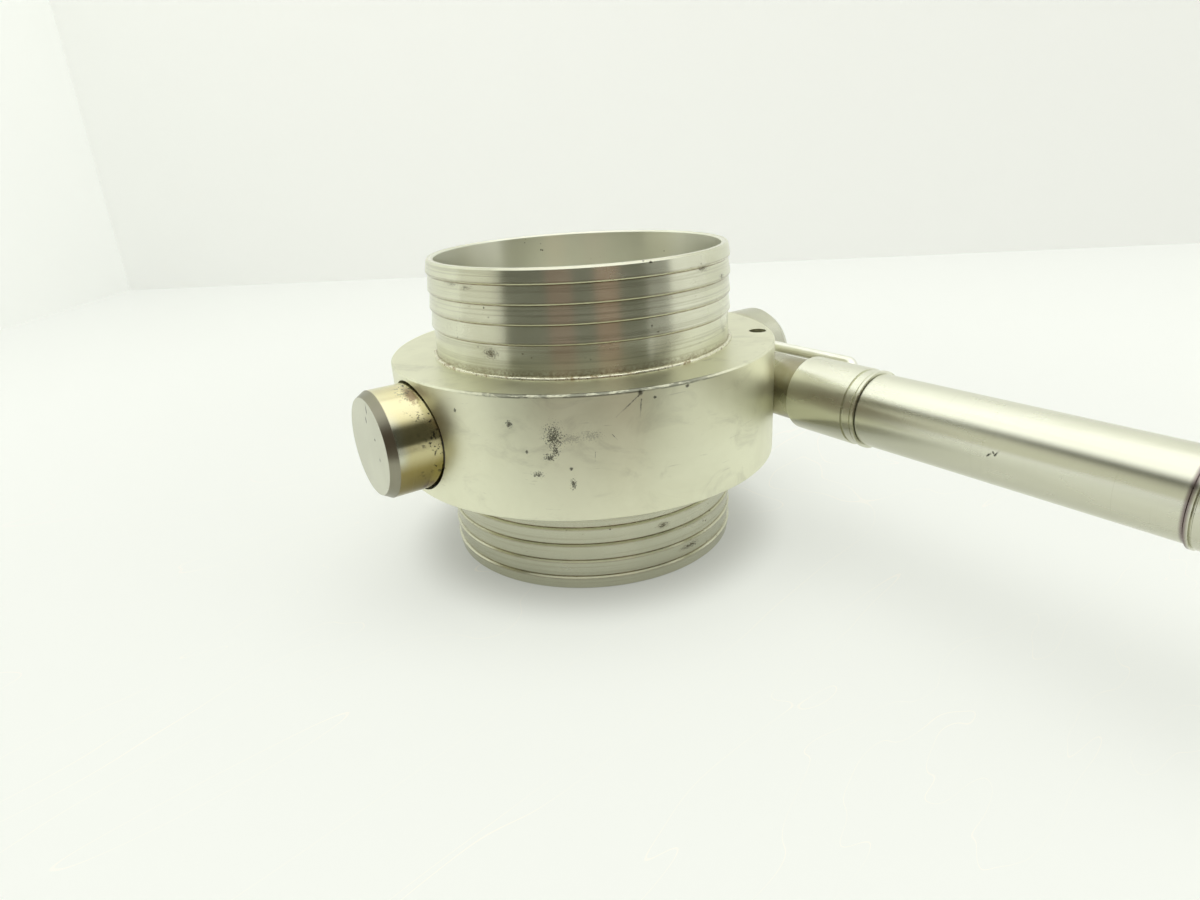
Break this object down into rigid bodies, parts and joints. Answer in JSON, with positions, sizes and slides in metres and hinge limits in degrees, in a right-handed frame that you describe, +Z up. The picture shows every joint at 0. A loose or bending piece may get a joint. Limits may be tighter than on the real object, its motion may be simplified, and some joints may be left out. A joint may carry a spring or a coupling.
{
  "type": "pneumatic butterfly valve",
  "caption": "Stainless butterfly valve with ridged hose spigots, a thick ring body, shaft bosses and a slim air cylinder that turns the disc through a rack.",
  "frame": {"origin": "on the flow axis at the lower spigot's free rim, where the valve stands", "axes": "+Z up along the flow axis, +X along the disc shaft towards the drive boss, -Y along the air cylinder towards its rear cap"},
  "size_m": [0.1679, 0.2737, 0.102],
  "materials": {
    "stainless_turned": "fine turned stainless steel, satin",
    "stainless_brushed": "satin stainless steel with light wear",
    "stainless_heat_tinted": "stainless steel with straw and brown heat tint",
    "weld_metal": "uneven weld bead with brown stain",
    "seat_rubber": "pale sanitary rubber",
    "seal_rubber": "black rubber, slightly glossy",
    "bronze": "bearing bronze",
    "gear_steel": "machined alloy steel",
    "hard_chrome": "hard chrome, polished",
    "piston_aluminium": "machined aluminium",
    "guide_plastic": "filled bearing plastic",
    "screw_steel": "dark steel"
  },
  "bodies": {
    "housing": {"air_tube": "stainless_brushed", "barrel": "stainless_brushed", "cylinder_neck": "stainless_brushed", "disc_seat": "seat_rubber", "drive_boss": "stainless_heat_tinted", "drive_boss_seal": "seal_rubber", "drive_bush": "bronze", "front_barrel_seal": "seal_rubber", "front_boss": "stainless_heat_tinted", "front_boss_seal": "seal_rubber", "front_bush": "bronze", "front_cap": "stainless_brushed", "locking_screw": "screw_steel", "lower_spigot": "stainless_turned", "lower_weld": "weld_metal", "rear_barrel_seal": "seal_rubber", "rear_cap": "stainless_brushed", "rod_bush": "bronze", "rod_seal": "seal_rubber", "upper_spigot": "stainless_turned", "upper_weld": "weld_metal", "valve_body": "stainless_brushed"},
    "disc_group": {"disc": "stainless_turned", "disc_shaft": "stainless_turned", "disc_pin_left": "stainless_turned", "disc_pin_right": "stainless_turned", "pinion_gear": "gear_steel", "pinion_key": "gear_steel", "front_shaft_seal": "seal_rubber", "drive_shaft_seal": "seal_rubber"},
    "piston_group": {"rack": "gear_steel", "piston_rod": "hard_chrome", "stop_tube": "piston_aluminium", "piston": "piston_aluminium", "guide_ring": "guide_plastic", "front_piston_seal": "seal_rubber", "rear_piston_seal": "seal_rubber", "piston_nut": "stainless_turned"}
  },
  "joints": [
    {"name": "disc_turn", "type": "hinge", "parent": "housing", "child": "disc_group", "pos_m": [0, 0, 0.051], "axis": [-1, 0, 0], "range_deg": [0, 90]},
    {"name": "piston_slide", "type": "slide", "parent": "housing", "child": "piston_group", "axis": [0, 1, 0], "range_m": [0, 0.011]}
  ],
  "couplings": [
    {"joint": "piston_slide", "follows": "disc_turn", "m_per_rad": 0.007}
  ]
}
